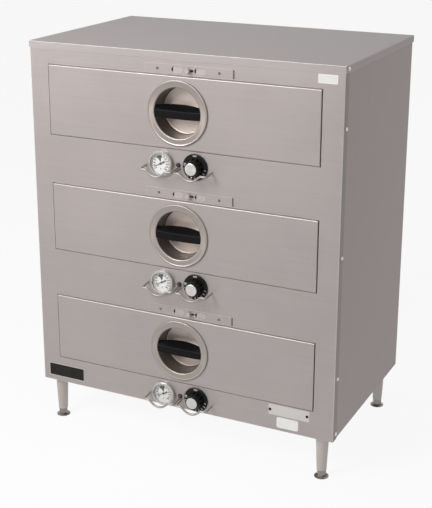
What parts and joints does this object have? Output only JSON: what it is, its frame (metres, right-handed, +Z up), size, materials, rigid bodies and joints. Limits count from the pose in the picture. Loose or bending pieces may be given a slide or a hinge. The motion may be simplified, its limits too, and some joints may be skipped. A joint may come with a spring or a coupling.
{
  "type": "warming drawer",
  "caption": "Free-standing stainless food warmer: stacked heated drawers with pans on telescopic slides, recessed handles, dial thermometers, knobs and sliding vents, on legs",
  "frame": {"origin": "middle of the bounding box's base, on the floor", "axes": "+Z up, -Y out of the drawer fronts, +X to the right as a user faces the drawers"},
  "size_m": [0.7414, 0.4754, 0.912],
  "materials": {
    "stainless_casing": "brushed stainless steel",
    "galvanised_sheet": "dull galvanised sheet",
    "leg": "plated steel, slightly dull",
    "foot": "plated steel, slightly dull",
    "screw": "plated screws",
    "insulation": "mineral wool blanket",
    "bushing": "matt black rubber",
    "terminal_block": "moulded black plastic",
    "heater": "oxidised metal sheath",
    "slide": "zinc-plated steel",
    "vent_plate": "brushed stainless steel",
    "vent_shutter": "stainless steel with a turned button",
    "thermometer_case": "polished bezel",
    "thermometer_dial": "white enamel",
    "lens": "clear flat glass",
    "needle": "black enamel",
    "pilot_light": "dark translucent dome",
    "thermostat": "moulded housing",
    "guard_wire": "bright wire",
    "knob": "moulded black plastic",
    "knob_cap": "spun aluminium disc",
    "shaft": "turned steel",
    "drawer_front": "brushed stainless steel",
    "handle_cup": "drawn stainless steel",
    "handle_bar": "moulded black plastic",
    "carriage": "folded stainless sheet",
    "pan": "drawn stainless pan"
  },
  "bodies": {
    "cabinet": {"top_cover": "stainless_casing", "front_frame": "stainless_casing", "left_side_panel": "stainless_casing", "right_side_panel": "stainless_casing", "back_panel": "galvanised_sheet", "base_pan": "galvanised_sheet", "legs": "leg", "case_screws": "screw", "insulation": "insulation", "cord_bushing": "bushing", "terminal_block": "terminal_block", "heating_elements": "heater", "slide_channels": "slide", "vent_covers": "vent_plate", "thermometer_cases": "thermometer_case", "thermometer_dials": "thermometer_dial", "thermometer_lenses": "lens", "pilot_lights": "pilot_light", "thermostats": "thermostat", "wire_guards": "guard_wire", "compartment_liner_1": "galvanised_sheet", "compartment_liner_2": "galvanised_sheet", "compartment_liner_3": "galvanised_sheet"},
    "drawer_1": {"drawer_front_1": "drawer_front", "handle_cup_1": "handle_cup", "handle_bar_1": "handle_bar", "drawer_carriage_1": "carriage", "food_pan_1": "pan"},
    "slides_1": {"slide_middle_1": "slide"},
    "vent_1": {"vent_shutter_1": "vent_shutter"},
    "knob_1": {"control_knob_1": "knob", "knob_cap_1": "knob_cap", "control_shaft_1": "shaft"},
    "needle_1": {"thermometer_needle_1": "needle"},
    "drawer_2": {"drawer_front_2": "drawer_front", "handle_cup_2": "handle_cup", "handle_bar_2": "handle_bar", "drawer_carriage_2": "carriage", "food_pan_2": "pan"},
    "slides_2": {"slide_middle_2": "slide"},
    "vent_2": {"vent_shutter_2": "vent_shutter"},
    "knob_2": {"control_knob_2": "knob", "knob_cap_2": "knob_cap", "control_shaft_2": "shaft"},
    "needle_2": {"thermometer_needle_2": "needle"},
    "drawer_3": {"drawer_front_3": "drawer_front", "handle_cup_3": "handle_cup", "handle_bar_3": "handle_bar", "drawer_carriage_3": "carriage", "food_pan_3": "pan"},
    "slides_3": {"slide_middle_3": "slide"},
    "vent_3": {"vent_shutter_3": "vent_shutter"},
    "knob_3": {"control_knob_3": "knob", "knob_cap_3": "knob_cap", "control_shaft_3": "shaft"},
    "needle_3": {"thermometer_needle_3": "needle"},
    "foot_front_left": {"foot_front_left": "foot"},
    "foot_front_right": {"foot_front_right": "foot"},
    "foot_back_left": {"foot_back_left": "foot"},
    "foot_back_right": {"foot_back_right": "foot"}
  },
  "joints": [
    {"name": "drawer_1_pull", "type": "slide", "parent": "cabinet", "child": "drawer_1", "axis": [0, -1, 0], "range_m": [0, 0.372]},
    {"name": "slides_1_extend", "type": "slide", "parent": "cabinet", "child": "slides_1", "axis": [0, -1, 0], "range_m": [0, 0.186]},
    {"name": "vent_1_slide", "type": "slide", "parent": "cabinet", "child": "vent_1", "axis": [1, 0, 0], "range_m": [-0.003, 0.0095]},
    {"name": "knob_1_turn", "type": "hinge", "parent": "cabinet", "child": "knob_1", "pos_m": [0.0405, -0.2097, 0.672], "axis": [0, 1, 0], "range_deg": [0, 270]},
    {"name": "needle_1_swing", "type": "hinge", "parent": "cabinet", "child": "needle_1", "pos_m": [-0.0405, -0.2097, 0.672], "axis": [0, 1, 0], "range_deg": [-15, 255], "stiffness_Nm_per_rad": 0.0005},
    {"name": "drawer_2_pull", "type": "slide", "parent": "cabinet", "child": "drawer_2", "axis": [0, -1, 0], "range_m": [0, 0.372]},
    {"name": "slides_2_extend", "type": "slide", "parent": "cabinet", "child": "slides_2", "axis": [0, -1, 0], "range_m": [0, 0.186]},
    {"name": "vent_2_slide", "type": "slide", "parent": "cabinet", "child": "vent_2", "axis": [1, 0, 0], "range_m": [-0.003, 0.0095]},
    {"name": "knob_2_turn", "type": "hinge", "parent": "cabinet", "child": "knob_2", "pos_m": [0.0405, -0.2097, 0.402], "axis": [0, 1, 0], "range_deg": [0, 270]},
    {"name": "needle_2_swing", "type": "hinge", "parent": "cabinet", "child": "needle_2", "pos_m": [-0.0405, -0.2097, 0.402], "axis": [0, 1, 0], "range_deg": [-15, 255], "stiffness_Nm_per_rad": 0.0005},
    {"name": "drawer_3_pull", "type": "slide", "parent": "cabinet", "child": "drawer_3", "axis": [0, -1, 0], "range_m": [0, 0.372]},
    {"name": "slides_3_extend", "type": "slide", "parent": "cabinet", "child": "slides_3", "axis": [0, -1, 0], "range_m": [0, 0.186]},
    {"name": "vent_3_slide", "type": "slide", "parent": "cabinet", "child": "vent_3", "axis": [1, 0, 0], "range_m": [-0.003, 0.0095]},
    {"name": "knob_3_turn", "type": "hinge", "parent": "cabinet", "child": "knob_3", "pos_m": [0.0405, -0.2097, 0.132], "axis": [0, 1, 0], "range_deg": [0, 270]},
    {"name": "needle_3_swing", "type": "hinge", "parent": "cabinet", "child": "needle_3", "pos_m": [-0.0405, -0.2097, 0.132], "axis": [0, 1, 0], "range_deg": [-15, 255], "stiffness_Nm_per_rad": 0.0005},
    {"name": "foot_front_left_level", "type": "slide", "parent": "cabinet", "child": "foot_front_left", "axis": [0, 0, -1], "range_m": [0, 0.02]},
    {"name": "foot_front_right_level", "type": "slide", "parent": "cabinet", "child": "foot_front_right", "axis": [0, 0, -1], "range_m": [0, 0.02]},
    {"name": "foot_back_left_level", "type": "slide", "parent": "cabinet", "child": "foot_back_left", "axis": [0, 0, -1], "range_m": [0, 0.02]},
    {"name": "foot_back_right_level", "type": "slide", "parent": "cabinet", "child": "foot_back_right", "axis": [0, 0, -1], "range_m": [0, 0.02]}
  ],
  "couplings": [
    {"joint": "slides_1_extend", "follows": "drawer_1_pull", "ratio": 0.5},
    {"joint": "slides_2_extend", "follows": "drawer_2_pull", "ratio": 0.5},
    {"joint": "slides_3_extend", "follows": "drawer_3_pull", "ratio": 0.5}
  ]
}
